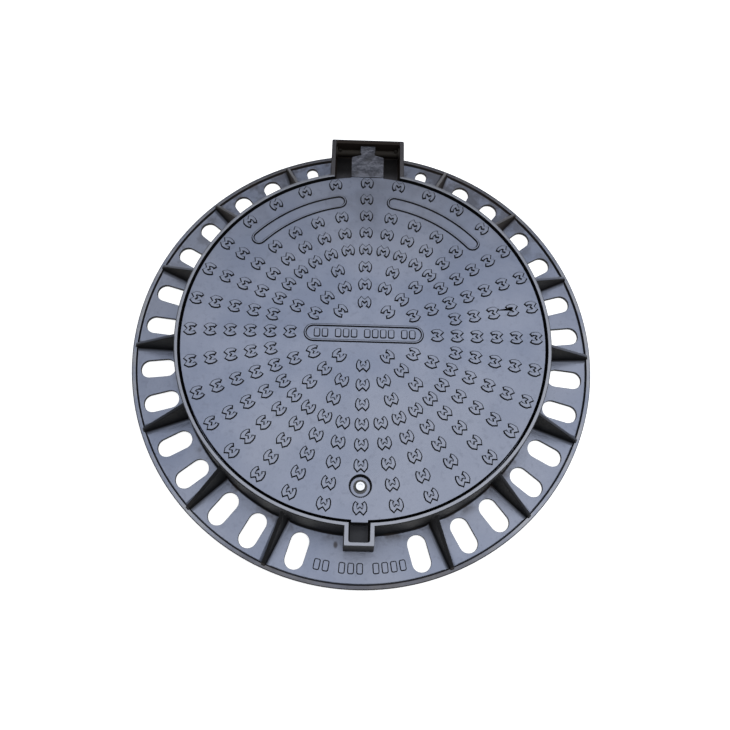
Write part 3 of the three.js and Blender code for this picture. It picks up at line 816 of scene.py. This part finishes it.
def frame_dirt_and_shade(iron):
    """Painted shade, near-black, deep in the lock pocket and the hinge box's cells; brownish grime round
    the hinge, on the ribs of the back half, by the wall's foot, on the rim's front and back and at a
    chip; painted shade in blotches, darker towards the back of the flange.
    """
    radius, x, y, z = iron.where()
    blotch_noise = iron.noise(38.0, 4.0)
    # Painted shade: near-black deep inside the lock pocket, below its top.
    pocket = x.inside(-18, 18, 1) * y.inside(-356, -318, 2) * (1 - z.step(90, 98)) * 0.8
    # Painted shade: near-black deep inside the hinge box's cells, below their top.
    cells = x.inside(-61.5, 61.5, 0.5) * y.step(335, 372) * (1 - z.step(92, 99)) * 0.9
    hinge = x.inside(-74, 74, 2) * y.step(318, 322) * 0.85
    ribs = y.step(80, 300) * z.step(14, 20) * radius.inside(331, 420, 2) * 0.8
    low = 1 - z.step(13, 20)
    foot = low * (1 - radius.step(335, 356)) * blotch_noise.step(0.42, 0.68) * 0.8
    # Painted shade: low down, blotches darker towards the back of the flange, where the overhead
    # reflection falls off.
    back = low * y.step(60, 340) * blotch_noise.step(0.40, 0.60) * 0.55
    rim = radius.step(415.5, 417.5) * (blotch_noise * 0.5 + 0.45)
    rim = rim * (1 - y.step(-400, -300) * (1 - y.step(180, 400)))
    aside, ahead = x + 39, y + 351
    chip = (1 - (aside * aside + ahead * ahead * 0.4).step(1, 24)) * low * (blotch_noise + 0.3)
    brown_and_shade = hinge
    for share in (ribs, foot, back, rim, chip):
        brown_and_shade = brown_and_shade.most(share)
    # The first share is painted shade in the pocket and cells; the second, brownish grime together with
    # the painted shade towards the back.
    return pocket.most(cells), brown_and_shade, 0.0


def frame_wear(iron):
    """Greyer, rubbed paint on the ring's top edge and on the raised rim."""
    radius, _, _, z = iron.where()
    rim = radius.step(415, 418) * iron.noise(30.0, 3.0).step(0.3, 0.7) * 0.8
    return (z.step(96, 99) * 0.5).most(rim)


def cover_dirt_and_shade(iron):
    """Sooty and brownish grime and lumps on the rough-cast hinge tongue; painted shade in blotches,
    darker towards the plate's back.
    """
    _, _, y, _ = iron.where()
    tongue = y.step(318.5, 322)
    cast = iron.noise(60.0, 4.0)
    # Painted shade: blotches darker towards the back of the plate, where the overhead reflection falls
    # off.
    back_shade = iron.noise(14.0, 4.0).step(0.45, 0.68) * y.step(120, 320) * 0.3
    soot_and_shade = tongue * cast.step(0.52, 0.64) * 0.45
    return soot_and_shade, (tongue * 0.62).most(back_shade), tongue * cast * 14


def cover_wear(iron):
    """Slight rubbing on the tops of the tread."""
    return iron.where()[3].step(98.5, 99.8) * 0.10


def rubber_finish(name, shade):
    rubber = Finish(name)
    speck = rubber.noise(300.0)
    return rubber.shade(Base_Color=rubber.mix(speck, (shade * 0.7,) * 3, (shade * 1.3,) * 3),
                        Roughness=0.75 + speck * 0.2,
                        Normal=rubber.bump(speck, 0.2, 0.4))


def greased_and_shaded_finish():
    # Near-black grease-covered steel: partly its own colour, partly painted shade for the pin, washers
    # and split pins deep in the hinge box.
    steel = Finish("greased_steel")
    film = steel.noise(60.0)
    return steel.shade(Base_Color=steel.mix(film, (0.008, 0.007, 0.006), (0.022, 0.018, 0.014)),
                       Metallic=0.1, Specular_IOR_Level=0.12, Roughness=0.5 + film * 0.25,
                       Normal=steel.bump(film, 0.2, 0.3))


def bright_finish():
    steel = Finish("bright_steel")
    worn = steel.noise(240.0)
    return steel.shade(Base_Color=steel.mix(worn, (0.40, 0.405, 0.42), (0.56, 0.565, 0.58)),
                       Metallic=1.0, Roughness=0.18 + worn * 0.16,
                       Normal=steel.bump(worn, 0.06, 0.3))


# ---- small pieces -------------------------------------------------------------------
def bolt():
    """Domed bolt head with a hex socket, on a plain shank."""
    low = corner("lock_bolt", 0).z
    head = corner("lock_seal_washer", 1).z + FIT
    body = turned([(0, low), (5, low), (6, low + 1), (6, head), (8, head), (8.5, head + 0.5),
                   (8.5, HEAD_TOP - 2.2), *arc(6.5, HEAD_TOP - 2, 2, 0, 90, 4), (0, HEAD_TOP)], 48)
    cut(body, rod(4.4, HEAD_TOP - 3, HEAD_TOP + 2, "Z", (0, 0), 6))
    return smooth(moved(body, Matrix.Translation(spot(0, LOCK_Y))))


def dress(thing, name, finish, body, node):
    """Names a finished piece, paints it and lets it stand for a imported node."""
    thing.name = name
    thing.data.name = name
    thing.data.materials.clear()
    thing.data.materials.append(finish)
    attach(thing, body)
    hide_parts(node)


def repaint(node, finish):
    """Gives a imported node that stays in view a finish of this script."""
    for holder in frame["nodes"][node].material_slots:
        holder.material = finish


# ---- floor, light and camera --------------------------------------------------------
def studio():
    """White floor that glows a little, one wide panel overhead and a pale sky."""
    deselect()
    bpy.ops.mesh.primitive_plane_add(size=14, location=(0, 0, 0))
    floor = bpy.context.object
    floor.name = "studio_floor"
    white = Finish("studio_white")
    floor.data.materials.append(white.shade(
        Base_Color=(0.93, 0.93, 0.93), Roughness=0.9,
        Emission_Color=(1.0, 1.0, 1.0), Emission_Strength=0.62))

    light = bpy.data.lights.new("overhead_panel", "AREA")
    light.shape = "RECTANGLE"
    light.size, light.size_y = 4.4, 3.2
    light.energy = 86
    light.color = (0.96, 0.98, 1.0)
    lamp = bpy.data.objects.new("overhead_panel", light)
    bpy.context.collection.objects.link(lamp)
    lamp.location = (0.75, 0.2, 2.6)
    world = bpy.data.worlds.new("studio_world")
    world.use_nodes = True
    sky = world.node_tree.nodes["Background"]
    sky.inputs["Color"].default_value = (0.75, 0.8, 0.9, 1)
    sky.inputs["Strength"].default_value = 0.3
    bpy.context.scene.world = world


def camera():
    """Camera above the front edge, looking down at the cover."""
    eye = bpy.data.cameras.new("camera")
    eye.lens = 36.02
    eye.sensor_width = 36
    holder = bpy.data.objects.new("camera", eye)
    bpy.context.collection.objects.link(holder)
    place = Vector((-0.0177, -0.4587, 1.2918))
    aim = Vector((0.0041, -0.0392, 0.050))
    back = (place - aim).normalized()
    right = Vector((0.99948, 0.02081, 0.02459))
    right = (right - back * right.dot(back)).normalized()
    up = back.cross(right)
    turn = Matrix((right, up, back)).transposed()
    holder.matrix_world = Matrix.Translation(place) @ turn.to_4x4()
    bpy.context.scene.camera = holder


# ---- build --------------------------------------------------------------------------
iron_frame = painted_iron("frame_paint", 1.0, frame_dirt_and_shade, frame_wear)
iron_cover = painted_iron("cover_paint", 0.8, cover_dirt_and_shade, cover_wear)
dress(frame_casting(), "frame_casting", iron_frame, "frame", "frame")
dress(cover_casting(), "cover_casting", iron_cover, "cover", "cover")
greased_and_shaded, bright = greased_and_shaded_finish(), bright_finish()
dress(bolt(), "lock_bolt_turned", bright, "lock", "lock_bolt")
repaint("seat_gasket", rubber_finish("gasket_rubber", 0.012))
repaint("lock_seal_washer", rubber_finish("dusty_rubber", 0.10))
# The hinge pieces get the near-black steel, partly painted shade for the dark hinge box.
for node in ("hinge_pin", "hinge_washer_left", "hinge_washer_right", "split_pin_left", "split_pin_right"):
    repaint(node, greased_and_shaded)
for node in ("lock_washer", "lock_spring_washer", "lock_cam", "lock_nut"):
    repaint(node, bright)

studio()
camera()
bpy.context.scene.view_settings.view_transform = "Standard"
